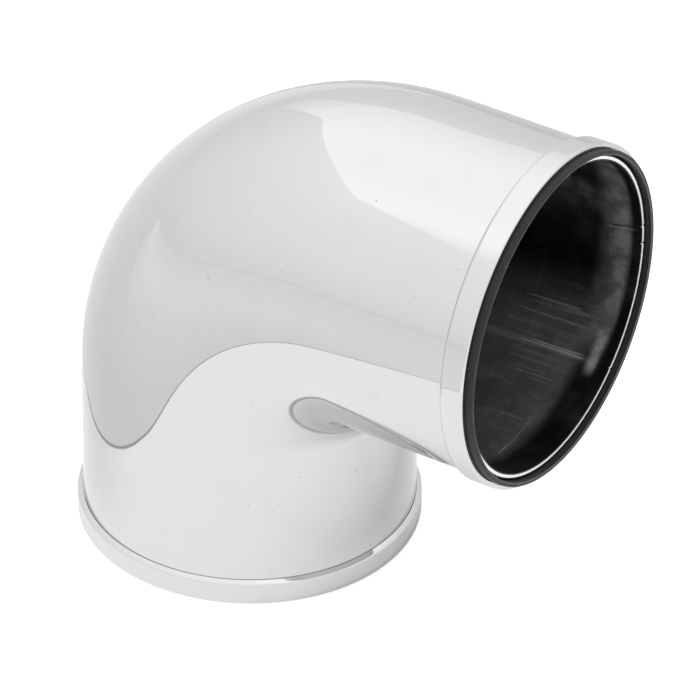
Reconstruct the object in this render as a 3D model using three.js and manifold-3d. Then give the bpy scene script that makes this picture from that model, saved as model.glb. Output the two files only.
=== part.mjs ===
// Cowl vent: a chrome-plated 90 degree elbow that turns on a fixed deck ring.
// Millimetres, +Z up. The mouth faces +X. The origin is on the deck, under the middle of the overall box,
// and the pieces are drawn about the neck's axis and then moved back together.
import * as THREE from "three";
import { mergeVertices } from "three/addons/utils/BufferGeometryUtils.js";
import Module from "manifold-3d";

const wasm = await Module();
wasm.setup();

// ---- Driving dimensions ----
const SEGMENTS = 48; // facets round every large circle
const FIT_GAP = 0.3; // gap between pieces that touch
const QUARTER_TURN = Math.PI / 2;

const TUBE_RADIUS = 52; // outside of the bent tube
const TUBE_WALL = 1.65;
const BEND_RADIUS = 57; // of the tube's centreline
const NECK_LEG = 53; // deck to the start of the bend
const MOUTH_LEG = 51; // end of the bend to the chromed edge
const BEND_STEPS = 16;

const BAND_WIDTH = 8.3;
const BAND_PROUD = 1.7; // how far a band stands out from the tube
const BAND_BEVEL = 0.5;
const BAND_DECK_GAP = 0.2; // running gap between the neck band and the deck

const SEAL_WALL = 1.5;
const SEAL_PROUD = 2.4; // how far the seal stands out from the chromed edge
const SEAL_DEPTH = 3; // how deep the seal sits inside the mouth band
const SEAL_BEVEL = 0.5;

const SLEEVE_WALL = 1.65;
const SLEEVE_LENGTH = 48.5;
const SLEEVE_PROUD = 0.15; // bare edge of the sleeve beyond the chromed edge
const SEAM_ANGLE = THREE.MathUtils.degToRad(-48); // from +Y towards +Z, round the mouth's axis
const SEAM_WIDTH = 1.4;
const SEAM_HEIGHT = 0.35;
const SEAM_LENGTH = 44;

const GASKET_THICKNESS = 1.5;
const GASKET_OUTER = 51.4;
const FLANGE_INNER = 36; // clear hole through the deck ring
const FLANGE_OUTER = 51.6;
const FLANGE_THICKNESS = 2;
const SPIGOT_OUTER = 48.5;
const SPIGOT_INNER = 45.5;
const SPIGOT_TOP = 27;
const SPIGOT_LEAD_IN = 0.8; // bevel at the spigot's top

const SCREW_HOLES = 6;
const SCREW_CIRCLE = 40.9; // radius of the circle of screw holes
const SCREW_HOLE_RADIUS = 2.3;
const COUNTERSINK_RADIUS = 4;
const HOLE_SEGMENTS = 16;
const CUT_OVERRUN = 1; // how far a hole's cutter passes the faces that it cuts

const WASHER_THICKNESS = 2.2;
const BUSH_INNER = 48.8;
const BUSH_TOP = 32;

const O_RING_HEIGHT = 20; // middle of the O-ring's groove above the deck
const O_RING_SECTION = 0.8; // radius of the O-ring's section
const O_RING_SIDES = 10;
const O_RING_GROOVE_DEPTH = 1.9;
const O_RING_GROOVE_WIDTH = 2.4;

const WIRE_HEIGHT = 13; // middle of the retaining ring above the deck
const WIRE_SECTION = 0.5;
const WIRE_CIRCLE = 48.65; // half in the spigot's groove and half in the bush's
const WIRE_SIDES = 8;
const WIRE_STEPS = 40;
const WIRE_OPENING = THREE.MathUtils.degToRad(24);
const WIRE_GROOVE_DEPTH = 0.65;
const WIRE_GROOVE_WIDTH = 1.8;

// ---- Places that follow from the driving dimensions ----
const TUBE_INNER = TUBE_RADIUS - TUBE_WALL;
const AXIS_HEIGHT = NECK_LEG + BEND_RADIUS; // of the mouth's axis
const MOUTH_EDGE = BEND_RADIUS + MOUTH_LEG; // x of the chromed edge
const SHELL_MOUTH_END = MOUTH_EDGE - SEAL_DEPTH - FIT_GAP;
const BAND_INNER = TUBE_RADIUS + FIT_GAP;
const BAND_OUTER = TUBE_RADIUS + BAND_PROUD;
const SEAL_OUTER = BAND_INNER - FIT_GAP;
const SEAL_INNER = SEAL_OUTER - SEAL_WALL;
const SLEEVE_OUTER = TUBE_INNER - FIT_GAP;
const SLEEVE_INNER = SLEEVE_OUTER - SLEEVE_WALL;
const FLANGE_BOTTOM = GASKET_THICKNESS + FIT_GAP;
const FLANGE_TOP = FLANGE_BOTTOM + FLANGE_THICKNESS;
const WASHER_BOTTOM = FLANGE_TOP + FIT_GAP;
const WASHER_TOP = WASHER_BOTTOM + WASHER_THICKNESS;
const NECK_END = WASHER_TOP + FIT_GAP; // lower end of the tube and of the bush
const NECK_X = -(MOUTH_EDGE + SEAL_PROUD - BAND_OUTER) / 2; // puts the overall box's middle at x = 0

// ---- Materials ----
function finish(color, roughness, metalness) {
  return new THREE.MeshStandardMaterial({ color, roughness, metalness });
}

const CHROME = { color: 0xd8dadc, roughness: 0.06, metalness: 1 };
const BLACK_PAINT = { color: 0x141416, roughness: 0.42, metalness: 0.2 };
const RUBBER = { color: 0x1b1b1c, roughness: 0.7, metalness: 0 };
const STEEL = { color: 0xb4b6b8, roughness: 0.32, metalness: 1 };
const NYLON = { color: 0x24252a, roughness: 0.5, metalness: 0 };

// ---- Geometry helpers ----

// A closed solid for manifold-3d, made from a geometry.
function solidOf(geometry) {
  const bare = geometry.clone();
  bare.deleteAttribute("normal");
  bare.deleteAttribute("uv");
  const merged = mergeVertices(bare, 1e-4);
  return new wasm.Manifold(
    new wasm.Mesh({
      numProp: 3,
      vertProperties: merged.attributes.position.array,
      triVerts: new Uint32Array(merged.index.array),
    }),
  );
}

function geometryOf(solid) {
  const mesh = solid.getMesh();
  return new THREE.BufferGeometry()
    .setAttribute("position", new THREE.BufferAttribute(mesh.vertProperties, 3))
    .setIndex(new THREE.BufferAttribute(mesh.triVerts, 1));
}

// A ring turned about +Z from a closed outline of [radius, height] points, listed anticlockwise.
function turned(outline) {
  const points = outline.map(([radius, height]) => new THREE.Vector2(radius, height));
  points.push(points[0].clone());
  return new THREE.LatheGeometry(points, SEGMENTS).rotateX(QUARTER_TURN);
}

// The outline of a plain ring, with all four corners bevelled by the same amount.
function bevelledOutline(inner, outer, bottom, top, bevel) {
  return [
    [inner + bevel, bottom],
    [outer - bevel, bottom],
    [outer, bottom + bevel],
    [outer, top - bevel],
    [outer - bevel, top],
    [inner + bevel, top],
    [inner, top - bevel],
    [inner, bottom + bevel],
  ];
}

function plainOutline(inner, outer, bottom, top) {
  return [
    [inner, bottom],
    [outer, bottom],
    [outer, top],
    [inner, top],
  ];
}

// A notch that steps inwards from a vertical wall, or outwards where depth is negative, listed upwards.
function groove(wall, depth, middle, width) {
  return [
    [wall, middle - width / 2],
    [wall - depth, middle - width / 2],
    [wall - depth, middle + width / 2],
    [wall, middle + width / 2],
  ];
}

function regularSection(radius, sides) {
  const corners = [];
  for (let i = 0; i < sides; i += 1) {
    const angle = (i / sides) * 2 * Math.PI;
    corners.push(new THREE.Vector2(radius * Math.cos(angle), radius * Math.sin(angle)));
  }
  return corners;
}

// ---- The bent tube ----

// The centreline: the neck's straight leg in one step, the bend in equal steps, the mouth's leg in one step.
class ElbowLine extends THREE.Curve {
  turnAt(share) {
    const station = share * (BEND_STEPS + 2) - 1;
    return (Math.min(Math.max(station, 0), BEND_STEPS) / BEND_STEPS) * QUARTER_TURN;
  }

  getPointAt(share) {
    if (share <= 0) return new THREE.Vector3(0, 0, NECK_END);
    if (share >= 1) return new THREE.Vector3(SHELL_MOUTH_END, 0, AXIS_HEIGHT);
    const turn = this.turnAt(share);
    return new THREE.Vector3(
      BEND_RADIUS * (1 - Math.cos(turn)),
      0,
      NECK_LEG + BEND_RADIUS * Math.sin(turn),
    );
  }

  getTangentAt(share) {
    const turn = this.turnAt(share);
    return new THREE.Vector3(Math.sin(turn), 0, Math.cos(turn));
  }
}

function cowlShell() {
  const section = new THREE.Shape(regularSection(TUBE_RADIUS, SEGMENTS));
  section.holes.push(new THREE.Path(regularSection(TUBE_INNER, SEGMENTS)));
  return new THREE.ExtrudeGeometry(section, {
    steps: BEND_STEPS + 2,
    extrudePath: new ElbowLine(),
    bevelEnabled: false,
  });
}

// ---- Rings of the mouth, made about +Z with the chromed edge at height 0 ----

function mouthBand() {
  return turned(bevelledOutline(BAND_INNER, BAND_OUTER, -BAND_WIDTH, 0, BAND_BEVEL));
}

function mouthSeal() {
  return turned(bevelledOutline(SEAL_INNER, SEAL_OUTER, -SEAL_DEPTH, SEAL_PROUD, SEAL_BEVEL));
}

// A rolled sleeve, with the raised bead of its long seam on the inside.
function mouthSleeve() {
  const wall = turned(
    plainOutline(SLEEVE_INNER, SLEEVE_OUTER, SLEEVE_PROUD - SLEEVE_LENGTH, SLEEVE_PROUD),
  );
  const beadDepth = SEAM_HEIGHT + SLEEVE_WALL / 2;
  const bead = new THREE.BoxGeometry(beadDepth, SEAM_WIDTH, SEAM_LENGTH)
    .translate(SLEEVE_INNER - SEAM_HEIGHT + beadDepth / 2, 0, -SEAM_LENGTH / 2 - SEAM_HEIGHT)
    .rotateZ(QUARTER_TURN + SEAM_ANGLE);
  return geometryOf(solidOf(wall).add(solidOf(bead)));
}

// ---- Rings of the neck ----

function neckBand() {
  return turned(
    bevelledOutline(BAND_INNER, BAND_OUTER, BAND_DECK_GAP, BAND_WIDTH, BAND_BEVEL),
  );
}

function neckBush() {
  return turned([
    [SLEEVE_OUTER, NECK_END],
    [SLEEVE_OUTER, BUSH_TOP],
    [BUSH_INNER, BUSH_TOP],
    ...groove(BUSH_INNER, -WIRE_GROOVE_DEPTH, WIRE_HEIGHT, WIRE_GROOVE_WIDTH).reverse(),
    [BUSH_INNER, NECK_END],
  ]);
}

// ---- The fixed base ----

// Cuts something out of a ring once at each screw hole.
function cutAtScrewHoles(ring, cutter) {
  let cut = solidOf(ring);
  for (let i = 0; i < SCREW_HOLES; i += 1) {
    const placed = cutter
      .clone()
      .translate(SCREW_CIRCLE, 0, 0)
      .rotateZ(((i + 0.5) / SCREW_HOLES) * 2 * Math.PI);
    cut = cut.subtract(solidOf(placed));
  }
  return geometryOf(cut);
}

function screwHole(bottom, top) {
  const height = top - bottom + 2 * CUT_OVERRUN;
  return new THREE.CylinderGeometry(SCREW_HOLE_RADIUS, SCREW_HOLE_RADIUS, height, HOLE_SEGMENTS)
    .rotateX(QUARTER_TURN)
    .translate(0, 0, (bottom + top) / 2);
}

// A countersunk hole: a shank hole that widens to the screw head at the flange's top.
function countersunkHole() {
  const below = FLANGE_BOTTOM - CUT_OVERRUN;
  const coneBottom = FLANGE_TOP - (COUNTERSINK_RADIUS - SCREW_HOLE_RADIUS);
  const above = FLANGE_TOP + CUT_OVERRUN;
  const profile = [
    [0, below],
    [SCREW_HOLE_RADIUS, below],
    [SCREW_HOLE_RADIUS, coneBottom],
    [COUNTERSINK_RADIUS, FLANGE_TOP],
    [COUNTERSINK_RADIUS, above],
    [0, above],
  ].map(([radius, height]) => new THREE.Vector2(radius, height));
  return new THREE.LatheGeometry(profile, HOLE_SEGMENTS).rotateX(QUARTER_TURN);
}

function deckRing() {
  const ring = turned([
    [FLANGE_INNER, FLANGE_BOTTOM],
    [FLANGE_OUTER, FLANGE_BOTTOM],
    [FLANGE_OUTER, FLANGE_TOP],
    [SPIGOT_OUTER, FLANGE_TOP],
    ...groove(SPIGOT_OUTER, WIRE_GROOVE_DEPTH, WIRE_HEIGHT, WIRE_GROOVE_WIDTH),
    ...groove(SPIGOT_OUTER, O_RING_GROOVE_DEPTH, O_RING_HEIGHT, O_RING_GROOVE_WIDTH),
    [SPIGOT_OUTER, SPIGOT_TOP - SPIGOT_LEAD_IN],
    [SPIGOT_OUTER - SPIGOT_LEAD_IN, SPIGOT_TOP],
    [SPIGOT_INNER, SPIGOT_TOP],
    [SPIGOT_INNER, FLANGE_TOP],
    [FLANGE_INNER, FLANGE_TOP],
  ]);
  return cutAtScrewHoles(ring, countersunkHole());
}

function deckGasket() {
  const ring = turned(
    plainOutline(FLANGE_INNER + FIT_GAP, GASKET_OUTER, 0, GASKET_THICKNESS),
  );
  return cutAtScrewHoles(ring, screwHole(0, GASKET_THICKNESS));
}

function thrustWasher() {
  return turned(
    plainOutline(SPIGOT_OUTER + FIT_GAP, FLANGE_OUTER, WASHER_BOTTOM, WASHER_TOP),
  );
}

function neckORing() {
  const middle = SPIGOT_OUTER - O_RING_SECTION;
  return turned(
    regularSection(O_RING_SECTION, O_RING_SIDES).map((corner) => [
      middle + corner.x,
      O_RING_HEIGHT + corner.y,
    ]),
  );
}

// The retaining ring's centreline, an arc that stops short of a full turn.
class SplitRingLine extends THREE.Curve {
  getPoint(share) {
    const angle = WIRE_OPENING / 2 + share * (2 * Math.PI - WIRE_OPENING);
    return new THREE.Vector3(
      WIRE_CIRCLE * Math.cos(angle),
      WIRE_CIRCLE * Math.sin(angle),
      WIRE_HEIGHT,
    );
  }
}

function retainingRing() {
  return new THREE.ExtrudeGeometry(new THREE.Shape(regularSection(WIRE_SECTION, WIRE_SIDES)), {
    steps: WIRE_STEPS,
    extrudePath: new SplitRingLine(),
    bevelEnabled: false,
  });
}

// ---- Assembly ----

function piece(name, geometry, look) {
  const mesh = new THREE.Mesh(geometry, finish(look.color, look.roughness, look.metalness));
  mesh.name = name;
  return mesh;
}

const mouth = new THREE.Group();
mouth.position.set(MOUTH_EDGE, 0, AXIS_HEIGHT);
mouth.rotation.y = QUARTER_TURN;
mouth.add(
  piece("mouth_band", mouthBand(), CHROME),
  piece("mouth_seal", mouthSeal(), RUBBER),
  piece("mouth_sleeve", mouthSleeve(), BLACK_PAINT),
);

const cowl = new THREE.Group();
cowl.add(
  piece("cowl_shell", cowlShell(), CHROME),
  piece("neck_band", neckBand(), CHROME),
  piece("neck_bush", neckBush(), NYLON),
  mouth,
);

const base = new THREE.Group();
base.add(
  piece("deck_ring", deckRing(), STEEL),
  piece("deck_gasket", deckGasket(), RUBBER),
  piece("thrust_washer", thrustWasher(), NYLON),
  piece("neck_o_ring", neckORing(), RUBBER),
  piece("retaining_ring", retainingRing(), STEEL),
);

const cowlVent = new THREE.Group();
cowlVent.position.x = NECK_X;
cowlVent.add(cowl, base);

export default cowlVent;
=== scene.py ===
# Cowl vent: a chromed elbow that swivels on a deck ring. Metres, +Z up, and the mouth faces +X.
import math

import bmesh
import bpy
from mathutils import Matrix, Vector


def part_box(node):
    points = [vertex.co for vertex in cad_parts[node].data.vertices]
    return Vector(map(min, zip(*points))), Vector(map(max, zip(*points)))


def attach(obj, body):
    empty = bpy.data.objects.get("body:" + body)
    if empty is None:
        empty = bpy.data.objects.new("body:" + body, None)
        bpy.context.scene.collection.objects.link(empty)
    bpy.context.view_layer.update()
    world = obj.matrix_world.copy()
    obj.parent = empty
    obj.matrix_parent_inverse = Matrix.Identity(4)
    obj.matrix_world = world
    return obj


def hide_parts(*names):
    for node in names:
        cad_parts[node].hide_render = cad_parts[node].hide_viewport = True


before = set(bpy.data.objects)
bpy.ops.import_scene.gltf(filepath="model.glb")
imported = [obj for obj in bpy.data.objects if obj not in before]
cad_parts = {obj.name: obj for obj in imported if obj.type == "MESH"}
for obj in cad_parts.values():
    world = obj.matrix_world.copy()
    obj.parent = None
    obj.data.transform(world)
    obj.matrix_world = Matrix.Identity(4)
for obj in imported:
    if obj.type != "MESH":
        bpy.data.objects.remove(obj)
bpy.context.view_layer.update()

MM = 0.001
FULL_TURN = 2 * math.pi
X, Y, Z = 0, 1, 2

# ---- Places taken from the frame ----


def low_of(node, axis):
    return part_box(node)[0][axis]


def high_of(node, axis):
    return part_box(node)[1][axis]


def middle_of(node, axis):
    return (low_of(node, axis) + high_of(node, axis)) / 2


NECK_X = middle_of("neck_band", X)  # the neck's axis
MOUTH_Z = middle_of("mouth_band", Z)  # the mouth's axis
MOUTH_X = high_of("mouth_band", X)  # the chromed edge
TUBE_RADIUS = high_of("cowl_shell", Y)
SLEEVE_OUTER = high_of("mouth_sleeve", Y)
SEAL_OUTER = high_of("mouth_seal", Y)
BAND_OUTER = high_of("mouth_band", Y)
FLANGE_BOTTOM = low_of("deck_ring", Z)
WIRE_Z = middle_of("retaining_ring", Z)
O_RING_Z = middle_of("neck_o_ring", Z)

# ---- Driving dimensions of the visual pieces ----

# The cowl.
BEND_RADIUS = 57 * MM  # of the tube's centreline
TUBE_WALL = 1.65 * MM
TUBE_LIP = 0.4 * MM  # rounding of the tube's ends
FIT = 0.12 * MM  # a band hugs the tube this closely
BAND_SHOULDER = (1.1 * MM, 0.5 * MM)  # run and rounding of the slope at a band's joint line
BAND_THIN = 0.15 * MM  # thickness left at the top of that slope
BAND_LIP = 0.8 * MM  # rounding of a band's outer corner
BAND_INNER_LIP = 0.1 * MM
SEAL_WALL = 1.5 * MM
SEAL_LIP = 0.6 * MM
LIP_HIGHLIGHT = (0.5 * SEAL_LIP, 0.7 * SEAL_LIP)  # painted highlight along the seal's inner lip: how deep, and how far outwards
SLEEVE_WALL = 1.65 * MM
SLEEVE_LIP = 0.12 * MM
BARE_RING = (0.4 * MM, 1.25 * MM)  # the bare part of its cut edge, from the bore's wall outwards

# The sleeve's seam and nicks. Angles round the mouth are from +Y towards +Z.
SEAM_ANGLE = math.radians(-48.2)
SEAM_HEIGHT = 0.3 * MM
SEAM_WIDTH = 0.7 * MM
SEAM_START = 7 * MM  # how far inside the mouth the seam's bead begins
SEAM_END = 45 * MM
NICKS = (  # (angle, size)
    (math.radians(6.7), 0.5 * MM),
    (math.radians(-0.7), 0.5 * MM),
    (SEAM_ANGLE, 0.3 * MM),
)
NICK_WIDTH = 0.25 * MM
NICK_REACH = 0.1 * MM  # only this much of the sleeve, from the chromed edge inwards, is nicked

# The fixed base, and the bush that turns on it.
FLANGE_INNER = 36 * MM
FLANGE_THICKNESS = 2 * MM
SPIGOT_OUTER = 48.5 * MM
SPIGOT_INNER = 45.5 * MM
SPIGOT_LEAD_IN = 0.8 * MM
SCREW_HOLES = 6
SCREW_CIRCLE = 40.9 * MM
SCREW_HOLE_RADIUS = 2.3 * MM
COUNTERSINK_RADIUS = 4 * MM
CUT_OVERRUN = 1 * MM
GASKET_INNER = 36.3 * MM
BUSH_WALL = 1.25 * MM
WASHER_INNER = 48.8 * MM
O_RING_SECTION = 0.8 * MM
O_RING_GROOVE = (2.4 * MM, 1.9 * MM)  # width and depth
WIRE_SECTION = 0.5 * MM
WIRE_CIRCLE = 48.65 * MM
WIRE_OPENING = math.radians(24)
WIRE_GROOVE = (1.8 * MM, 0.65 * MM)  # width and depth
EDGE_LIP = 0.25 * MM  # rounding of a turned edge
GROOVE_LIP = 0.1 * MM
SHARP_ANGLE = math.radians(32)

# How finely the meshes are divided.
ROUND_STEPS = 6  # edges in a rounded corner
RING_SIDES = 288  # edges round a ring
BEND_STEPS = 96
HOLE_SIDES = 48
SECTION_SIDES = 24
WIRE_STEPS = 180
WIRE_END_STEPS = 6
SEAL_STEP = 0.4 * MM  # the longest edge along an outline, by piece
BAND_STEP = 0.5 * MM
WASHER_STEP = 0.5 * MM
SLEEVE_STEP = 1.2 * MM
BUSH_STEP = 1.5 * MM
BASE_STEP = 2 * MM
DETAIL_REACH = math.radians(2.4)  # to each side of a detail, a ring is divided more finely
DETAIL_STEP = math.radians(0.1)

# ---- Driving numbers of the materials ----

# Scales are of noise, per metre. A range is the part of a noise's values that shows. Tones are linear
# greys. A bump is (strength, depth). Roughnesses and tones in pairs run from one end of a noise to the
# other.
MIDDLE_RANGE = (0.3, 0.7)  # where most of a noise's values lie

HAZE_SCALE = 28
HAZE_RANGE = (0.35, 0.75)
HAZE_TONES = (0.575, 0.595)
HAZE_ROUGHNESS = (0.03, 0.055)
SMUDGE_SCALE = 90
SMUDGE_RANGE = (0.56, 0.72)
SMUDGE_SHARE = 0.5
SMUDGE_TONE = 0.55
SPECK_SCALE = 650
SPECK_RANGE = (0.79, 0.82)
SPECK_TONE = 0.4
RIPPLE_SCALE = 900
RIPPLE_BUMP = (0.02, 0.05 * MM)

EDGE_SCALE = 1500
EDGE_TONES = (0.84, 0.9)
EDGE_ROUGHNESS = (0.45, 0.55)
EDGE_BUMP = (0.02, 0.05 * MM)

BLOOM_SCALE = 120
BLOOM_ROUGHNESS = (0.42, 0.6)
CHIP_SCALE = 420
CHIP_RANGE = (0.74, 0.77)
CHIP_SHARE = 0.35
CHIP_TONE = 0.4
GRAIN_SCALE = 2600
GRAIN_BUMP = (0.12, 0.05 * MM)

TURNED_SCALE = 2400
TURNED_BUMP = (0.3, 0.03 * MM)
STAIN_SCALE = 45

# The bore's paint. Arcs are lengths round the bore's wall, depths are from the chromed edge inwards and
# heights are from the mouth's axis. Four numbers are where a mark starts, is full, begins to fade, ends.
CLOUD_SCALE = 36
BLOT_SCALE = 110
CLOUD_RANGE = (0.36, 0.66)
CLOUD_SHARE = 0.3
PAINT_TONES = (0.0005, 0.075)
PAINT_ROUGHNESS = (0.36, 0.56)
FINE_SCALE = 1300  # fine and coarse lines run along the bore, turned ones round it
FINE_STRETCH = (0.025, 1, 1)
FINE_RANGE = (0.52, 0.74)
FINE_STRENGTH = 0.5
COARSE_SCALE = 480
COARSE_STRETCH = (0.04, 1, 1)
COARSE_RANGE = (0.56, 0.76)
COARSE_STRENGTH = 0.6
RINGS_SCALE = 1000
RINGS_STRETCH = (1, 0.04, 1)
RINGS_RANGE = (0.54, 0.76)
RINGS_STRENGTH = 0.6
WORN_ARC = (-85 * MM, -66 * MM, -30 * MM, -10 * MM)
WORN_DEPTH = (9 * MM, 13 * MM, 26 * MM, 48 * MM)
WORN_SHARE = 0.6
SCRATCH_TONE = 0.24
SCRATCH_BUMP = (0.25, 0.05 * MM)
LOW_HAZE_HEIGHT = (-12 * MM, -38 * MM)
LOW_HAZE_DEPTH = (7 * MM, 14 * MM)
LOW_HAZE_BLOTS = 0.72  # the share that is left where the blots are weakest
# Painted light on the upper wall near the mouth, broken up by the clouds and blots.
UPPER_LIT_HEIGHT = (0, 26 * MM)
UPPER_LIT_DEPTH = (3 * MM, 10 * MM, 18 * MM, 36 * MM)
UPPER_LIT_TONE = 0.16
# Painted light: a lighter band on the far wall just inside the mouth, where light falls in.
LIT_BAND_DEPTH = (2.2 * MM, 4.8 * MM, 5.8 * MM, 16 * MM)
LIT_BAND_ARC = (-45 * MM, -32 * MM, 22 * MM, 60 * MM)
LIT_BAND_BLOTS = 0.45
LIT_BAND_TONE = 0.14
BLOTCH_DEPTH = (3.5 * MM, 5.2 * MM, 6 * MM, 8.5 * MM)
BLOTCH_ARC = (-47 * MM, -39.5 * MM, -37 * MM, -29 * MM)
BLOTCH_BLOTS = 0.5
BLOTCH_TONE = 0.3

# Single marks: start and end as (depth in mm, angle in degrees), then width in mm.
CRACK = ((10.5, 3.4), (0.7, 6.4), 0.3)
CRACK_TONE = 0.001
WALL_MARKS = (  # and how light each leaves the paint
    ((46, -49.8), (8, -48.3), 1.5, 0.3),  # the seam's rubbed bead
    ((31, -49.2), (8.5, -48.6), 0.3, 0.9),  # its two bright edges
    ((27, -48.2), (9, -47.3), 0.25, 0.6),
    ((36, -38.4), (11.5, -37.6), 0.35, 0.4),  # long scratches above it
    ((33, -34.8), (13, -34.0), 0.5, 0.2),
    ((34, -33.0), (15, -32.0), 0.35, 0.4),
    ((38, -42.5), (13, -41.8), 0.3, 0.2),
    ((34, -52.6), (16, -52.0), 0.3, 0.2),  # and below it
    ((32, -55.6), (15, -55.0), 0.4, 0.2),
    ((28, -60.6), (14.5, -60.0), 0.35, 0.35),
    ((30, -80.5), (17, -80.0), 0.35, 0.2),
    ((21, -88.0), (13, -86.5), 0.35, 0.2),
    ((13.8, -77.0), (12.3, -101.0), 0.3, 0.4),  # a pair of scratches that run round the bore
    ((13.2, -95.0), (12.2, -103.0), 0.35, 0.5),
    ((12, 2.4), (1.5, 4.6), 0.25, 0.35),  # beside the crack
)
MARK_ENDS = (-0.05, 0.12, 0.88, 1.05)  # where a mark starts, is full, fades and ends, by its length
MARK_CORE = 0.3  # the share of its width at which a mark is full


# ---- Outlines ----


def rounded(corners):
    """A closed outline from (along, radius, rounding) corners, each rounded off by a curve."""
    outline = []
    for i, (along, radius, rounding) in enumerate(corners):
        corner = Vector((along, radius))
        if not rounding:
            outline.append(corner)
            continue
        before = Vector(corners[i - 1][:2]) - corner
        after = Vector(corners[(i + 1) % len(corners)][:2]) - corner
        start = corner + before.normalized() * rounding
        end = corner + after.normalized() * rounding
        for step in range(ROUND_STEPS + 1):
            t = step / ROUND_STEPS
            outline.append(start * (1 - t) ** 2 + corner * 2 * t * (1 - t) + end * t**2)
    return outline


def filled_in(outline, step):
    """The closed outline with points added wherever two neighbours are more than step apart."""
    dense = []
    for i, point in enumerate(outline):
        following = outline[(i + 1) % len(outline)]
        pieces = max(1, math.ceil((following - point).length / step))
        dense += [point.lerp(following, k / pieces) for k in range(pieces)]
    return dense


def plain_ring(start, end, inner, outer, rounding):
    corners = [(start, inner), (end, inner), (end, outer), (start, outer)]
    return rounded([(*corner, rounding) for corner in corners])


def groove(middle, size, wall, inwards):
    """Corners of a groove in a wall, listed with along growing. inwards is -1 in an inner wall."""
    width, depth = size
    floor_radius = wall - depth * inwards
    return [
        (middle - width / 2, wall, GROOVE_LIP),
        (middle - width / 2, floor_radius, GROOVE_LIP),
        (middle + width / 2, floor_radius, GROOVE_LIP),
        (middle + width / 2, wall, GROOVE_LIP),
    ]


def even_angles(sides):
    return [i / sides * FULL_TURN for i in range(sides)]


def fine_angles(centres, half_width, step):
    """Even angles, with extra ones wherever a detail needs them."""
    angles = set(round(angle, 6) for angle in even_angles(RING_SIDES))
    for centre in centres:
        count = int(half_width / step)
        for k in range(-count, count + 1):
            angles.add(round((centre + k * step) % FULL_TURN, 6))
    return sorted(angles)


# ---- Where a point of a ring lies ----


def about_neck(along, radius, angle):
    return Vector((NECK_X + radius * math.cos(angle), radius * math.sin(angle), along))


def about_mouth(along, radius, angle):
    return Vector((along, radius * math.cos(angle), MOUTH_Z + radius * math.sin(angle)))


def about_elbow(along, radius, angle):
    """along runs up the centreline from the deck, round the bend and out to the mouth."""
    neck_leg = MOUTH_Z - BEND_RADIUS
    bend_length = BEND_RADIUS * math.pi / 2
    turn = min(max(along - neck_leg, 0), bend_length) / BEND_RADIUS
    straight_up = min(along, neck_leg)
    straight_out = max(along - neck_leg - bend_length, 0)
    reach = radius * math.cos(angle)
    return Vector(
        (
            NECK_X + BEND_RADIUS * (1 - math.cos(turn)) + straight_out - reach * math.cos(turn),
            radius * math.sin(angle),
            straight_up + BEND_RADIUS * math.sin(turn) + reach * math.sin(turn),
        )
    )


def mouth_along(x):
    """How far along the elbow's centreline the place x of the mouth's leg lies."""
    return MOUTH_Z - BEND_RADIUS + BEND_RADIUS * math.pi / 2 + x - NECK_X - BEND_RADIUS


# ---- Meshes ----


def object_from(name, mesh):
    made = bpy.data.objects.new(name, mesh)
    bpy.context.scene.collection.objects.link(made)
    return made


def object_of(name, shape, looks):
    """An object from a finished bmesh."""
    bmesh.ops.recalc_face_normals(shape, faces=shape.faces)
    mesh = bpy.data.meshes.new(name)
    shape.to_mesh(mesh)
    shape.free()
    for look in looks:
        mesh.materials.append(look)
    return object_from(name, mesh)


def revolved(name, outline, place, angles, looks, look_of_row=lambda along, radius: 0):
    """A closed ring: the outline of (along, radius) points, taken round the angles."""
    shape = bmesh.new()
    rows = [[shape.verts.new(place(p[0], p[1], angle)) for angle in angles] for p in outline]
    for i, row in enumerate(rows):
        following = rows[(i + 1) % len(rows)]
        centre = (outline[i] + outline[(i + 1) % len(outline)]) / 2
        look = look_of_row(centre[0], centre[1])
        for j in range(len(angles)):
            k = (j + 1) % len(angles)
            face = shape.faces.new((row[j], row[k], following[k], following[j]))
            face.smooth = True
            face.material_index = look
    return object_of(name, shape, looks)


def capped(shape, rings):
    """Skins a list of rings of vertices and closes both ends."""
    for row, following in zip(rings, rings[1:]):
        for j in range(len(row)):
            k = (j + 1) % len(row)
            shape.faces.new((row[j], row[k], following[k], following[j])).smooth = True
    shape.faces.new(rings[0])
    shape.faces.new(rings[-1])


def hole_cutters(profile):
    """One solid at each screw hole, turned from (height, radius) points."""
    shape = bmesh.new()
    for i in range(SCREW_HOLES):
        angle = (i + 0.5) / SCREW_HOLES * FULL_TURN
        centre = about_neck(0, SCREW_CIRCLE, angle)
        rings = []
        for height, radius in profile:
            ring = [
                centre + Vector((radius * math.cos(a), radius * math.sin(a), height))
                for a in even_angles(HOLE_SIDES)
            ]
            rings.append([shape.verts.new(point) for point in ring])
        capped(shape, rings)
    return object_of("hole_cutters", shape, ())


def drill(piece, profile):
    """Cuts the screw holes in the piece for good."""
    cutter = hole_cutters(profile)
    cut = piece.modifiers.new("screw_holes", "BOOLEAN")
    cut.operation = "DIFFERENCE"
    cut.solver = "EXACT"
    cut.object = cutter
    finished = piece.evaluated_get(bpy.context.evaluated_depsgraph_get())
    mesh = bpy.data.meshes.new_from_object(finished)
    piece.modifiers.clear()
    piece.data = mesh
    mesh.set_sharp_from_angle(angle=SHARP_ANGLE)
    bpy.data.objects.remove(cutter)


def stands_for(piece, node, body):
    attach(piece, body)
    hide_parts(node)


# ---- Node trees ----


def grey(value):
    return (value, value, value, 1.0)


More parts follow.
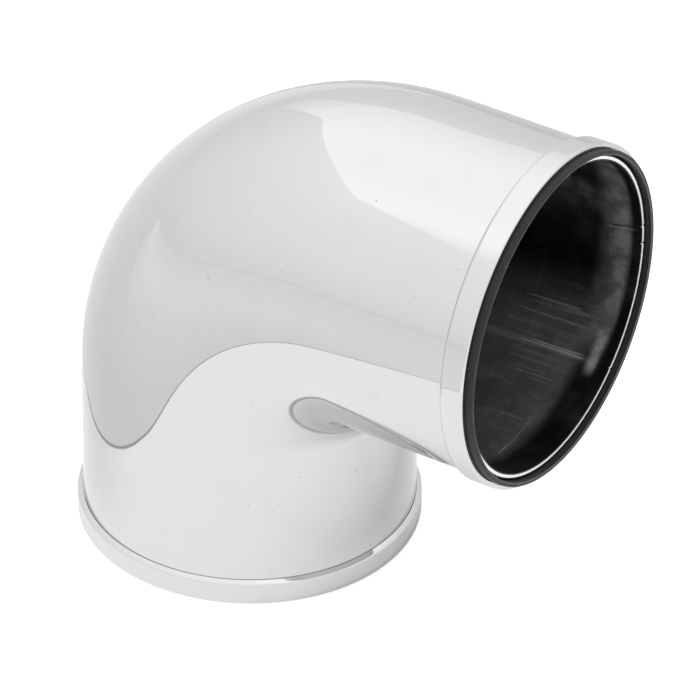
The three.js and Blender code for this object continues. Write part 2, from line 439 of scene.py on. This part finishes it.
class Nodes:
    """Short ways of adding nodes to a tree."""

    def __init__(self, tree):
        self.tree = tree

    def node(self, kind, inputs=(), **settings):
        made = self.tree.nodes.new(kind)
        for setting, value in settings.items():
            setattr(made, setting, value)
        for socket, value in dict(inputs).items():
            if isinstance(value, bpy.types.NodeSocket):
                self.tree.links.new(value, made.inputs[socket])
            else:
                made.inputs[socket].default_value = value
        return made

    def place(self):
        return self.node("ShaderNodeTexCoord").outputs["Object"]

    def axes(self, vector):
        apart = self.node("ShaderNodeSeparateXYZ", {"Vector": vector})
        return [apart.outputs[axis] for axis in "XYZ"]

    def together(self, x, y, z=0.0):
        return self.node("ShaderNodeCombineXYZ", {"X": x, "Y": y, "Z": z}).outputs["Vector"]

    def noise(self, vector, scale, detail=3, roughness=0.55, stretch=(1, 1, 1)):
        """Noise with features about 1 / scale metres wide, stretched by the mapping's scale."""
        mapped = self.node("ShaderNodeMapping", {"Vector": vector, "Scale": stretch})
        sockets = {
            "Vector": mapped.outputs["Vector"],
            "Scale": scale,
            "Detail": detail,
            "Roughness": roughness,
        }
        return self.node("ShaderNodeTexNoise", sockets).outputs["Fac"]

    def math(self, operation, first, second=0.0):
        made = self.node("ShaderNodeMath", {0: first, 1: second}, operation=operation)
        return made.outputs[0]

    def product(self, *factors):
        total = factors[0]
        for factor in factors[1:]:
            total = self.math("MULTIPLY", total, factor)
        return total

    def spread(self, value, low, high, to_low=0.0, to_high=1.0, kind="SMOOTHSTEP"):
        """value taken from the range low to high to the range to_low to to_high."""
        sockets = {
            "Value": value,
            "From Min": low,
            "From Max": high,
            "To Min": to_low,
            "To Max": to_high,
        }
        made = self.node("ShaderNodeMapRange", sockets, interpolation_type=kind)
        return made.outputs["Result"]

    def profile(self, value, stops):
        """A tone that runs in straight steps through the (value, tone) stops."""
        total = None
        for (low, first), (high, second) in zip(stops, stops[1:]):
            if total is None:
                total = self.spread(value, low, high, first, second, "LINEAR")
            elif first != second:
                step = self.spread(value, low, high, 0.0, second - first, "LINEAR")
                total = self.math("ADD", total, step)
        return total

    def hump(self, value, start, full, past, end):
        """1 between full and past, falling to 0 at start and end."""
        return self.product(self.spread(value, start, full), self.spread(value, end, past))

    def mix(self, share, first, second):
        made = self.node("ShaderNodeMix", data_type="RGBA")
        for socket, value in ((0, share), (6, first), (7, second)):
            if isinstance(value, bpy.types.NodeSocket):
                self.tree.links.new(value, made.inputs[socket])
            else:
                made.inputs[socket].default_value = value
        return made.outputs[2]

    def between(self, share, tones):
        """A grey between two tones."""
        return self.mix(share, grey(tones[0]), grey(tones[1]))


class Look(Nodes):
    """A procedural material round one Principled shader."""

    def __init__(self, name, **sockets):
        self.material = bpy.data.materials.new(name)
        self.material.use_nodes = True
        super().__init__(self.material.node_tree)
        self.shader = self.tree.nodes["Principled BSDF"]
        for socket, value in sockets.items():
            self.shader.inputs[socket.replace("_", " ")].default_value = value

    def feed(self, socket, value):
        self.tree.links.new(value, self.shader.inputs[socket])

    def bump(self, height, strength, distance):
        made = self.node(
            "ShaderNodeBump", {"Height": height, "Strength": strength, "Distance": distance}
        )
        self.feed("Normal", made.outputs["Normal"])


# ---- Materials ----


def chrome():
    """Polished plating with a little haze, wiping smudges and a few specks of dust."""
    look = Look("chrome_plating", Metallic=1.0)
    place = look.place()
    haze = look.noise(place, HAZE_SCALE, detail=4)
    smudges = look.noise(place, SMUDGE_SCALE, detail=5, roughness=0.7)
    smudges = look.spread(smudges, *SMUDGE_RANGE, to_high=SMUDGE_SHARE)
    specks = look.spread(look.noise(place, SPECK_SCALE, detail=1), *SPECK_RANGE)
    base = look.mix(smudges, look.between(haze, HAZE_TONES), grey(SMUDGE_TONE))
    look.feed("Base Color", look.mix(specks, base, grey(SPECK_TONE)))
    look.feed("Roughness", look.spread(haze, *HAZE_RANGE, *HAZE_ROUGHNESS))
    look.bump(look.noise(place, RIPPLE_SCALE, detail=2), *RIPPLE_BUMP)
    return look.material


def streak(look, depth, arc, start, end, width):
    """A mark on the bore's wall, from start to end, both given as (depth in mm, angle in degrees)."""
    radius = SLEEVE_OUTER - SLEEVE_WALL
    first = Vector((start[0] * MM, math.radians(start[1]) * radius))
    last = Vector((end[0] * MM, math.radians(end[1]) * radius))
    way = (last - first).normalized()
    here = (look.math("SUBTRACT", depth, first.x), look.math("SUBTRACT", arc, first.y))
    along = look.math("ADD", look.product(here[0], way.x), look.product(here[1], way.y))
    across = look.math("SUBTRACT", look.product(here[0], way.y), look.product(here[1], way.x))
    off = look.math("ABSOLUTE", across)
    length = (last - first).length
    ends = look.hump(along, *[share * length for share in MARK_ENDS])
    return look.product(look.spread(off, width * MM, width * MM * MARK_CORE), ends)


def wall_marks(look, depth, arc):
    """The marks that can be told apart one by one."""
    total = 0.0
    for start, end, width, strength in WALL_MARKS:
        mark = look.product(streak(look, depth, arc, start, end, width), strength)
        total = look.math("ADD", mark, total)
    return look.math("MINIMUM", total, 1.0)


def scratches(look, depth, arc, blots):
    """Fine wear: lines along the bore and turned rings, where it is worn, and the single marks."""
    wall = look.together(depth, arc)
    fine = look.noise(wall, FINE_SCALE, detail=3, roughness=0.7, stretch=FINE_STRETCH)
    fine = look.spread(fine, *FINE_RANGE, to_high=FINE_STRENGTH)
    coarse = look.noise(wall, COARSE_SCALE, detail=3, stretch=COARSE_STRETCH)
    coarse = look.spread(coarse, *COARSE_RANGE, to_high=COARSE_STRENGTH)
    rings = look.noise(wall, RINGS_SCALE, detail=3, stretch=RINGS_STRETCH)
    rings = look.spread(rings, *RINGS_RANGE, to_high=RINGS_STRENGTH)
    worn = look.product(look.hump(arc, *WORN_ARC), look.hump(depth, *WORN_DEPTH))
    lines = look.math("ADD", look.math("ADD", fine, coarse), look.product(rings, blots))
    wear = look.product(lines, worn, WORN_SHARE)
    return look.math("ADD", wear, wall_marks(look, depth, arc))


def black_paint():
    """Worn satin paint: clouded, with painted light on the walls just inside the mouth, and scratched
    lengthways.
    """
    look = Look("black_bore_paint", Metallic=0.0, Specular_IOR_Level=0.35)
    place = look.place()
    x, y, z = look.axes(place)
    depth = look.math("SUBTRACT", MOUTH_X, x)
    height = look.math("SUBTRACT", z, MOUTH_Z)
    angle = look.math("ARCTAN2", height, y)
    arc = look.product(angle, SLEEVE_OUTER - SLEEVE_WALL)
    clouds = look.spread(look.noise(place, CLOUD_SCALE, detail=4, roughness=0.6), *CLOUD_RANGE)
    blots = look.spread(look.noise(place, BLOT_SCALE, detail=5, roughness=0.7), *CLOUD_RANGE)
    scratched = scratches(look, depth, arc, blots)
    low_haze = look.product(
        look.spread(height, *LOW_HAZE_HEIGHT),
        look.spread(depth, *LOW_HAZE_DEPTH),
        look.spread(blots, 0, 1, LOW_HAZE_BLOTS, 1.0),
    )
    # Painted light on the upper wall near the mouth.
    upper_lit = look.product(
        look.spread(height, *UPPER_LIT_HEIGHT), look.hump(depth, *UPPER_LIT_DEPTH), clouds, blots
    )
    # Painted light in a band on the far wall just inside the mouth.
    lit_band = look.product(
        look.hump(depth, *LIT_BAND_DEPTH),
        look.hump(arc, *LIT_BAND_ARC),
        look.spread(blots, 0, 1, LIT_BAND_BLOTS, 1.0),
    )
    blotch = look.product(
        look.hump(depth, *BLOTCH_DEPTH),
        look.hump(arc, *BLOTCH_ARC),
        look.spread(blots, 0, 1, BLOTCH_BLOTS, 1.0),
    )
    mottle = look.math("MAXIMUM", look.product(clouds, blots, CLOUD_SHARE), low_haze)
    base = look.between(mottle, PAINT_TONES)
    base = look.mix(upper_lit, base, grey(UPPER_LIT_TONE))
    base = look.mix(lit_band, base, grey(LIT_BAND_TONE))
    base = look.mix(blotch, base, grey(BLOTCH_TONE))
    base = look.mix(scratched, base, grey(SCRATCH_TONE))
    look.feed("Base Color", look.mix(streak(look, depth, arc, *CRACK), base, grey(CRACK_TONE)))
    look.feed("Roughness", look.spread(mottle, 0, 1, *PAINT_ROUGHNESS))
    look.bump(scratched, *SCRATCH_BUMP)
    return look.material


def bare_edge():
    """The sleeve's cut edge, bare and dull, with fine marks."""
    look = Look("bare_cut_edge", Metallic=0.3)
    marks = look.noise(look.place(), EDGE_SCALE, detail=3)
    look.feed("Base Color", look.between(marks, EDGE_TONES))
    look.feed("Roughness", look.spread(marks, *MIDDLE_RANGE, *EDGE_ROUGHNESS))
    look.bump(marks, *EDGE_BUMP)
    return look.material


def rubber(name, tones):
    """Black rubber with a dusty bloom and small pale chips."""
    look = Look(name, Metallic=0.0, Specular_IOR_Level=0.32)
    place = look.place()
    bloom = look.noise(place, BLOOM_SCALE, detail=4)
    chips = look.noise(place, CHIP_SCALE, detail=2)
    chips = look.spread(chips, *CHIP_RANGE, to_high=CHIP_SHARE)
    look.feed("Base Color", look.mix(chips, look.between(bloom, tones), grey(CHIP_TONE)))
    look.feed("Roughness", look.spread(bloom, *MIDDLE_RANGE, *BLOOM_ROUGHNESS))
    look.bump(look.noise(place, GRAIN_SCALE, detail=3), *GRAIN_BUMP)
    return look.material


def reach_from_neck(look, x, y):
    """How far (x, y), measured from the neck's axis, lies from that axis."""
    return look.math("SQRT", look.math("ADD", look.product(x, x), look.product(y, y)))


def turned_finish(name, tones, roughness, **sockets):
    """A lathe-turned surface, with fine rings round the neck's axis and cloudy stains."""
    look = Look(name, **sockets)
    place = look.place()
    x, y, z = look.axes(place)
    from_axis = look.math("SUBTRACT", x, NECK_X)
    reach = reach_from_neck(look, from_axis, y)
    rings = look.noise(look.together(reach, z), TURNED_SCALE, detail=2)
    look.feed("Base Color", look.between(look.noise(place, STAIN_SCALE, detail=4), tones))
    look.feed("Roughness", look.spread(rings, *MIDDLE_RANGE, *roughness))
    look.bump(rings, *TURNED_BUMP)
    return look.material


CHROME = chrome()
BLACK_PAINT = black_paint()
BARE_EDGE = bare_edge()
SEAL_RUBBER = rubber("black_rubber", tones=(0.004, 0.014))
# Lighter rubber for the painted highlight along the seal's inner lip.
HIGHLIGHT_RUBBER = rubber("rubber_lip_highlight", tones=(0.05, 0.09))
STEEL = turned_finish("turned_steel", tones=(0.5, 0.6), roughness=(0.2, 0.38), Metallic=1.0)
NYLON = turned_finish("dark_nylon", tones=(0.025, 0.045), roughness=(0.4, 0.55), Metallic=0.0)


# ---- The cowl ----


def cowl_tube():
    """The elbow: plated outside and over its ends, painted black inside."""
    inner = TUBE_RADIUS - TUBE_WALL
    start = low_of("cowl_shell", Z)
    end = mouth_along(high_of("cowl_shell", X))
    corners = plain_ring(start, end, inner, TUBE_RADIUS, TUBE_LIP)
    outline = filled_in(corners, BEND_RADIUS * math.pi / 2 / BEND_STEPS)
    painted = inner + TUBE_LIP / 2
    piece = revolved(
        "cowl_tube",
        outline,
        about_elbow,
        even_angles(RING_SIDES),
        (CHROME, BLACK_PAINT),
        lambda along, radius: 1 if radius < painted else 0,
    )
    stands_for(piece, "cowl_shell", "cowl")


def band(name, node, place, joint, edge):
    """A chromed collar, from its joint line with the tube to its outer edge."""
    inner = TUBE_RADIUS + FIT
    run, rounding = BAND_SHOULDER
    slope_end = joint + math.copysign(run, edge - joint)
    outline = rounded(
        [
            (joint, inner, 0),
            (edge, inner, BAND_INNER_LIP),
            (edge, BAND_OUTER, BAND_LIP),
            (slope_end, BAND_OUTER, rounding),
            (joint, inner + BAND_THIN, BAND_THIN / 3),
        ]
    )
    dense = filled_in(outline, BAND_STEP)
    piece = revolved(name, dense, place, even_angles(RING_SIDES), (CHROME,))
    stands_for(piece, node, "cowl")


def mouth_seal():
    """The rubber ring round the mouth, with a painted highlight along its inner lip."""
    start = low_of("mouth_seal", X)
    end = high_of("mouth_seal", X)
    inner = SEAL_OUTER - SEAL_WALL
    outline = filled_in(plain_ring(start, end, inner, SEAL_OUTER, SEAL_LIP), SEAL_STEP)
    highlight_depth, highlight_reach = LIP_HIGHLIGHT
    piece = revolved(
        "mouth_seal_ring",
        outline,
        about_mouth,
        even_angles(RING_SIDES),
        (SEAL_RUBBER, HIGHLIGHT_RUBBER),
        # The inner lip's rows take the lighter rubber: a painted highlight.
        lambda along, radius: along > end - highlight_depth and radius < inner + highlight_reach,
    )
    stands_for(piece, "mouth_seal", "cowl")


def bell(offset, width):
    return math.exp(-((offset / width) ** 2))


def angle_between(first, second):
    return (first - second + math.pi) % FULL_TURN - math.pi


def mouth_sleeve():
    """The rolled sleeve, with its seam's bead and small nicks in the bare cut edge."""
    start = low_of("mouth_sleeve", X)
    end = high_of("mouth_sleeve", X)
    inner = SLEEVE_OUTER - SLEEVE_WALL

    def place(along, radius, angle):
        arc = angle_between(angle, SEAM_ANGLE) * radius
        depth = MOUTH_X - along
        if radius < inner + SLEEVE_LIP / 2 and SEAM_START < depth < SEAM_END:
            radius -= SEAM_HEIGHT * bell(arc, SEAM_WIDTH)
        if depth < NICK_REACH:
            for where, size in NICKS:
                along -= size * bell(angle_between(angle, where) * radius, NICK_WIDTH)
        return about_mouth(along, radius, angle)

    angles = fine_angles([where for where, _ in NICKS], DETAIL_REACH, DETAIL_STEP)
    edge_lines = [inner + reach for reach in BARE_RING]
    cut_edge = [(end, radius, 0) for radius in edge_lines]
    corners = [
        (start, inner, SLEEVE_LIP),
        (end, inner, SLEEVE_LIP),
        *cut_edge,
        (end, SLEEVE_OUTER, SLEEVE_LIP),
        (start, SLEEVE_OUTER, SLEEVE_LIP),
    ]
    outline = filled_in(rounded(corners), SLEEVE_STEP)
    bare_from = end - SLEEVE_LIP
    piece = revolved(
        "mouth_sleeve_rolled",
        outline,
        place,
        angles,
        (BLACK_PAINT, BARE_EDGE),
        lambda along, radius: along > bare_from and edge_lines[0] < radius < edge_lines[1],
    )
    stands_for(piece, "mouth_sleeve", "cowl")


def neck_bush():
    """The nylon bush inside the neck, with the groove that the retaining ring springs into."""
    bottom = low_of("neck_bush", Z)
    top = high_of("neck_bush", Z)
    outer = high_of("neck_bush", Y)
    inner = outer - BUSH_WALL
    corners = [
        (bottom, inner, EDGE_LIP),
        *groove(WIRE_Z, WIRE_GROOVE, inner, -1),
        (top, inner, EDGE_LIP),
        (top, outer, EDGE_LIP),
        (bottom, outer, EDGE_LIP),
    ]
    outline = filled_in(rounded(corners), BUSH_STEP)
    piece = revolved("neck_bush_turned", outline, about_neck, even_angles(RING_SIDES), (NYLON,))
    stands_for(piece, "neck_bush", "cowl")


# ---- The fixed base ----


def deck_ring():
    """The flange that is screwed to the deck, and the grooved spigot that the cowl turns on."""
    flange_top = FLANGE_BOTTOM + FLANGE_THICKNESS
    flange_outer = high_of("deck_ring", Y)
    top = high_of("deck_ring", Z)
    corners = [
        (FLANGE_BOTTOM, flange_outer, EDGE_LIP),
        (flange_top, flange_outer, EDGE_LIP),
        (flange_top, SPIGOT_OUTER, GROOVE_LIP),
        *groove(WIRE_Z, WIRE_GROOVE, SPIGOT_OUTER, 1),
        *groove(O_RING_Z, O_RING_GROOVE, SPIGOT_OUTER, 1),
        (top - SPIGOT_LEAD_IN, SPIGOT_OUTER, GROOVE_LIP),
        (top, SPIGOT_OUTER - SPIGOT_LEAD_IN, GROOVE_LIP),
        (top, SPIGOT_INNER, EDGE_LIP),
        (flange_top, SPIGOT_INNER, GROOVE_LIP),
        (flange_top, FLANGE_INNER, EDGE_LIP),
        (FLANGE_BOTTOM, FLANGE_INNER, EDGE_LIP),
    ]
    outline = filled_in(rounded(corners), BASE_STEP)
    piece = revolved("deck_ring_machined", outline, about_neck, even_angles(RING_SIDES), (STEEL,))
    cone_bottom = flange_top - (COUNTERSINK_RADIUS - SCREW_HOLE_RADIUS)
    countersunk = (
        (FLANGE_BOTTOM - CUT_OVERRUN, SCREW_HOLE_RADIUS),
        (cone_bottom, SCREW_HOLE_RADIUS),
        (flange_top, COUNTERSINK_RADIUS),
        (flange_top + CUT_OVERRUN, COUNTERSINK_RADIUS),
    )
    drill(piece, countersunk)
    stands_for(piece, "deck_ring", "deck_base")


def deck_gasket():
    """The flat gasket under the deck ring, with plain screw holes."""
    outer = high_of("deck_gasket", Y)
    bottom = low_of("deck_gasket", Z)
    top = high_of("deck_gasket", Z)
    outline = filled_in(plain_ring(bottom, top, GASKET_INNER, outer, EDGE_LIP), BASE_STEP)
    piece = revolved(
        "deck_gasket_cut", outline, about_neck, even_angles(RING_SIDES), (SEAL_RUBBER,)
    )
    straight = (
        (bottom - CUT_OVERRUN, SCREW_HOLE_RADIUS),
        (top + CUT_OVERRUN, SCREW_HOLE_RADIUS),
    )
    drill(piece, straight)
    stands_for(piece, "deck_gasket", "deck_base")


def thrust_washer():
    """The ring that carries the cowl's weight on the flange."""
    corners = plain_ring(
        low_of("thrust_washer", Z),
        high_of("thrust_washer", Z),
        WASHER_INNER,
        high_of("thrust_washer", Y),
        EDGE_LIP,
    )
    outline = filled_in(corners, WASHER_STEP)
    piece = revolved("thrust_washer_turned", outline, about_neck, even_angles(RING_SIDES), (NYLON,))
    stands_for(piece, "thrust_washer", "deck_base")


def neck_o_ring():
    """A ring of round section in the spigot's upper groove."""
    circle = high_of("neck_o_ring", Y) - O_RING_SECTION
    outline = [
        Vector((O_RING_Z + O_RING_SECTION * math.sin(a), circle + O_RING_SECTION * math.cos(a)))
        for a in even_angles(SECTION_SIDES)
    ]
    piece = revolved(
        "neck_o_ring_round", outline, about_neck, even_angles(RING_SIDES), (SEAL_RUBBER,)
    )
    stands_for(piece, "neck_o_ring", "deck_base")


def retaining_ring():
    """A split ring of round wire, with rounded ends."""
    shape = bmesh.new()
    first = WIRE_OPENING / 2
    sweep = FULL_TURN - WIRE_OPENING
    end_reach = WIRE_SECTION / WIRE_CIRCLE
    near_end = []
    for i in range(WIRE_END_STEPS):
        lean = (i + 0.5) / WIRE_END_STEPS * math.pi / 2
        near_end.append((first + end_reach * (1 - math.sin(lean)), math.cos(math.pi / 2 - lean)))
    far_end = [(FULL_TURN - angle, size) for angle, size in near_end]
    step = (sweep - 2 * end_reach) / WIRE_STEPS
    body = [(first + end_reach + step * i, 1.0) for i in range(WIRE_STEPS + 1)]
    rings = []
    for angle, size in sorted(near_end) + body + sorted(far_end):
        ring = []
        for a in even_angles(SECTION_SIDES):
            height = WIRE_Z + WIRE_SECTION * size * math.sin(a)
            reach = WIRE_CIRCLE + WIRE_SECTION * size * math.cos(a)
            ring.append(shape.verts.new(about_neck(height, reach, angle)))
        rings.append(ring)
    capped(shape, rings)
    piece = object_of("retaining_ring_wire", shape, (STEEL,))
    stands_for(piece, "retaining_ring", "deck_base")


cowl_tube()
band("neck_band_plated", "neck_band", about_neck, high_of("neck_band", Z), low_of("neck_band", Z))
band("mouth_band_plated", "mouth_band", about_mouth, low_of("mouth_band", X), MOUTH_X)
mouth_seal()
mouth_sleeve()
neck_bush()
deck_ring()
deck_gasket()
thrust_washer()
neck_o_ring()
retaining_ring()


# ---- Stage: floor, cards, studio light and camera ----

FLOOR_SIZE = 80.0
FLOOR_DROP = 0.05 * MM  # keeps the floor clear of the gasket's underside
FLOOR_GLOW = 0.46
FLOOR_TONES = (0.79, 0.81)
FLOOR_SCALE = 30

# The cards that the chrome mirrors. Only reflections show them.
SHEET_LIFT = 0.2 * MM  # the lit sheet and the grey card lie this far above the floor
CARD_LIFT = 0.4 * MM
CARD_REACH = 39.0  # how far they run from the neck's axis
CARD_DISTANCE = 97 * MM  # from the neck's axis to the grey card's near edge
CARD_DIRECTION = math.radians(204.5)  # the way the card lies from the neck, from +X towards +Y
# A dim strip that only reflections show: painted shadow along the grey card's near edge.
EDGE_SHADOW_BY_Y = ((-9, 0.34), (9, 0.3))
EDGE_SHADOW_WIDTH = 1.6 * MM

# The corners of the overhead softbox and its wing, measured from the neck's axis.
BOX_HEIGHT = 0.4
BOX_CORNERS = (
    (-0.293, 0.211), (-0.042, -0.201), (0.45, -0.201), (0.45, 0.888), (-0.13, 0.888),
    (-0.13, 0.35), (-0.157, 0.339)
)
WING_CORNERS = (
    (-1.078, 0.888), (-0.293, 0.211), (-0.157, 0.339), (-0.331, 0.427), (-0.895, 0.902)
)
STUDIO_LEVEL = 1.34  # how much brighter the studio is than the tones below

# Tones of the cards: (metres from the neck's axis, tone) stops. The shades darken the lit sheet.
SHEET_TONE = 0.985
SHADE_ACROSS = (
    (-0.08, 0), (0, 0.1), (0.045, 0.29), (0.07, 0.38), (0.09, 0.23), (0.12, 0.12), (0.35, 0)
)
SHADE_ALONG = (
    (-0.11, 0), (-0.065, 0.12), (-0.039, 0.35), (-0.013, 0.65), (0.013, 1), (0.07, 1), (0.4, 0)
)
SHADE_NEAR = ((0.0537, 0.35), (0.056, 0.14), (0.06, 0.05), (0.08, 0.02), (0.11, 0))
SHADE_NEAR_ALONG = ((-0.05, 0), (-0.022, 1))  # it fades towards the front
SHADE_LEFT_ACROSS = ((-0.1, 0.22), (-0.06, 0.15), (-0.03, 0.02), (0, 0))
SHADE_LEFT_ALONG = ((-0.09, 0), (-0.045, 1))
SHADE_BEHIND = ((0.02, 0), (0.1, 0.18))
CARD_BY_REACH = ((0.15, 0.7), (0.21, 0.72), (0.57, 0.755), (1.1, 0.76), (2.0, 0.765))
CARD_BY_Y = ((-3.0, 0.02), (-0.7, 0.06), (-0.27, 0.11), (-0.17, 0.07), (-0.06, 0))
BOX_BY_Y = (
    (-0.201, 1.02), (-0.165, 1.1), (-0.14, 1.16), (-0.09, 1.155), (-0.04, 1.12), (0.1, 1.125),
    (0.36, 0.97), (0.67, 0.8)
)
WING_BY_Y = ((0.2, 1.06), (0.35, 1.0), (0.45, 0.9), (0.9, 0.82))

# The tent's tones: (upward part of the direction, tone), and what the sideways part adds.
TENT_BY_HEIGHT = (
    (-1, 0.72), (-0.2, 0.75), (0, 0.775), (0.17, 0.83), (0.5, 0.905), (0.77, 0.98), (1, 1.1)
)
TENT_BY_SIDE = ((-1, 0.05), (-0.1, 0), (0.2, 0), (0.9, -0.09))
TENT_SIDE_ENDS = (0.3, 0.75)  # upward part where the sideways change begins and ends fading

KEY_POWER = 9.0
KEY_SIZE = 1.6
KEY_HEIGHT = 2.2

CAMERA_AZIMUTH = math.radians(32.18)
CAMERA_ELEVATION = math.radians(34.23)
CAMERA_ROLL = math.radians(0.94)
CAMERA_DISTANCE = 1.7002
CAMERA_LENS = 288.6
CAMERA_TARGET = Vector((NECK_X + 36.1 * MM, 0, 71.2 * MM))


def flat_sheet(name, corners, height):
    """A level sheet of the stage. corners are measured from the neck's axis."""
    mesh = bpy.data.meshes.new(name)
    points = [(NECK_X + x, y, height) for x, y in corners]
    mesh.from_pydata(points, [], [tuple(range(len(points)))])
    made = object_from(name, mesh)
    return made


def square(half):
    return [(-half, -half), (half, -half), (half, half), (-half, half)]


def floor():
    """Softly back-lit white acrylic."""
    made = flat_sheet("studio_floor", square(FLOOR_SIZE / 2), -FLOOR_DROP)
    look = Look("floor_acrylic", Roughness=0.8, Specular_IOR_Level=0.1)
    look.shader.inputs["Emission Color"].default_value = grey(1.0)
    look.shader.inputs["Emission Strength"].default_value = FLOOR_GLOW
    mottle = look.noise(look.place(), FLOOR_SCALE, detail=3)
    look.feed("Base Color", look.between(mottle, FLOOR_TONES))
    made.data.materials.append(look.material)


def glow(name):
    """A material that only shines. Its tone is fed in as the emission's strength."""
    look = Look(name, Roughness=1.0, Specular_IOR_Level=0.0)
    look.shader.inputs["Base Color"].default_value = grey(0.0)
    look.shader.inputs["Emission Color"].default_value = grey(1.0)
    x, y, _ = look.axes(look.place())
    return look, look.math("SUBTRACT", x, NECK_X), y


def card(name, corners, height, tone):
    """A shining card that only reflections show. tone(look, x, y) makes its strength."""
    made = flat_sheet(name, corners, height)
    look, x, y = glow(name + "_light")
    look.feed("Emission Strength", look.product(tone(look, x, y), STUDIO_LEVEL))
    made.data.materials.append(look.material)
    made.visible_camera = False
    made.visible_diffuse = False
    made.visible_shadow = False
    made.visible_transmission = False
    made.visible_volume_scatter = False


def sheet_tone(look, x, y):
    """The lit floor as the chrome sees it, less the soft shades that the object throws on it."""
    under = look.product(look.profile(x, SHADE_ACROSS), look.profile(y, SHADE_ALONG))
    near = look.profile(reach_from_neck(look, x, y), SHADE_NEAR)
    near = look.product(near, look.profile(y, SHADE_NEAR_ALONG))
    left = look.product(look.profile(x, SHADE_LEFT_ACROSS), look.profile(y, SHADE_LEFT_ALONG))
    behind = look.profile(y, SHADE_BEHIND)
    shade = look.math("ADD", look.math("MAXIMUM", under, behind), look.math("ADD", near, left))
    return look.math("SUBTRACT", SHEET_TONE, shade)


def card_tone(look, x, y):
    by_reach = look.profile(reach_from_neck(look, x, y), CARD_BY_REACH)
    return look.math("ADD", by_reach, look.profile(y, CARD_BY_Y))


def strip_beside_neck(near, far):
    """Corners of a strip of floor that lies from near to far away from the neck's axis."""
    away = Vector((math.cos(CARD_DIRECTION), math.sin(CARD_DIRECTION)))
    side = Vector((-away.y, away.x)) * CARD_REACH
    ends = ((near, -1), (far, -1), (far, 1), (near, 1))
    return [tuple(away * reach + side * way) for reach, way in ends]


def cards():
    """The sheet and the card on the floor, the painted shadow along the card's near edge, and the
    softbox overhead.
    """
    card("floor_sheet", square(CARD_REACH), SHEET_LIFT, sheet_tone)
    card("grey_card", strip_beside_neck(CARD_DISTANCE, CARD_REACH), CARD_LIFT, card_tone)
    # A dim strip: painted shadow along the grey card's near edge.
    edge_shadow = strip_beside_neck(CARD_DISTANCE - EDGE_SHADOW_WIDTH, CARD_DISTANCE)
    card("card_edge_shadow", edge_shadow, CARD_LIFT, lambda look, x, y: look.profile(y, EDGE_SHADOW_BY_Y))
    card("softbox", BOX_CORNERS, BOX_HEIGHT, lambda look, x, y: look.profile(y, BOX_BY_Y))
    card("softbox_wing", WING_CORNERS, BOX_HEIGHT, lambda look, x, y: look.profile(y, WING_BY_Y))


def tent():
    """The studio tent: grey at the sides, brighter overhead and darker behind the object."""
    world = bpy.data.worlds.new("studio_tent")
    bpy.context.scene.world = world
    world.use_nodes = True
    world.node_tree.nodes.clear()
    sky = Nodes(world.node_tree)
    _, y, z = sky.axes(sky.node("ShaderNodeTexCoord").outputs["Generated"])
    sideways = sky.product(sky.profile(y, TENT_BY_SIDE), sky.spread(z, *reversed(TENT_SIDE_ENDS)))
    tone = sky.product(sky.math("ADD", sky.profile(z, TENT_BY_HEIGHT), sideways), STUDIO_LEVEL)
    light = sky.node("ShaderNodeBackground", {"Color": grey(1.0), "Strength": tone})
    out = sky.node("ShaderNodeOutputWorld")
    sky.tree.links.new(light.outputs[0], out.inputs["Surface"])


def key_light():
    """A wide soft light overhead that brightens the floor and shows in no reflection."""
    light = bpy.data.lights.new("key", "AREA")
    light.energy = KEY_POWER
    light.size = KEY_SIZE
    made = bpy.data.objects.new("key", light)
    made.location = (0, 0, KEY_HEIGHT)
    made.visible_glossy = False
    bpy.context.scene.collection.objects.link(made)


def camera():
    """A long lens, turned by azimuth, lifted by elevation and rolled a little."""
    sideways, up = CAMERA_AZIMUTH, CAMERA_ELEVATION
    level = math.cos(up)
    back = Vector((math.sin(sideways) * level, -math.cos(sideways) * level, math.sin(up)))
    right = Vector((math.cos(sideways), math.sin(sideways), 0))
    upright = Matrix((right, back.cross(right), back)).transposed()
    made = bpy.data.objects.new("camera", bpy.data.cameras.new("camera"))
    made.data.lens = CAMERA_LENS
    made.rotation_mode = "QUATERNION"
    turned = upright.to_4x4() @ Matrix.Rotation(CAMERA_ROLL, 4, "Z")
    made.matrix_world = Matrix.Translation(CAMERA_TARGET + back * CAMERA_DISTANCE) @ turned
    bpy.context.scene.collection.objects.link(made)
    bpy.context.scene.camera = made


floor()
cards()
tent()
key_light()
camera()
bpy.context.scene.view_settings.view_transform = "Standard"
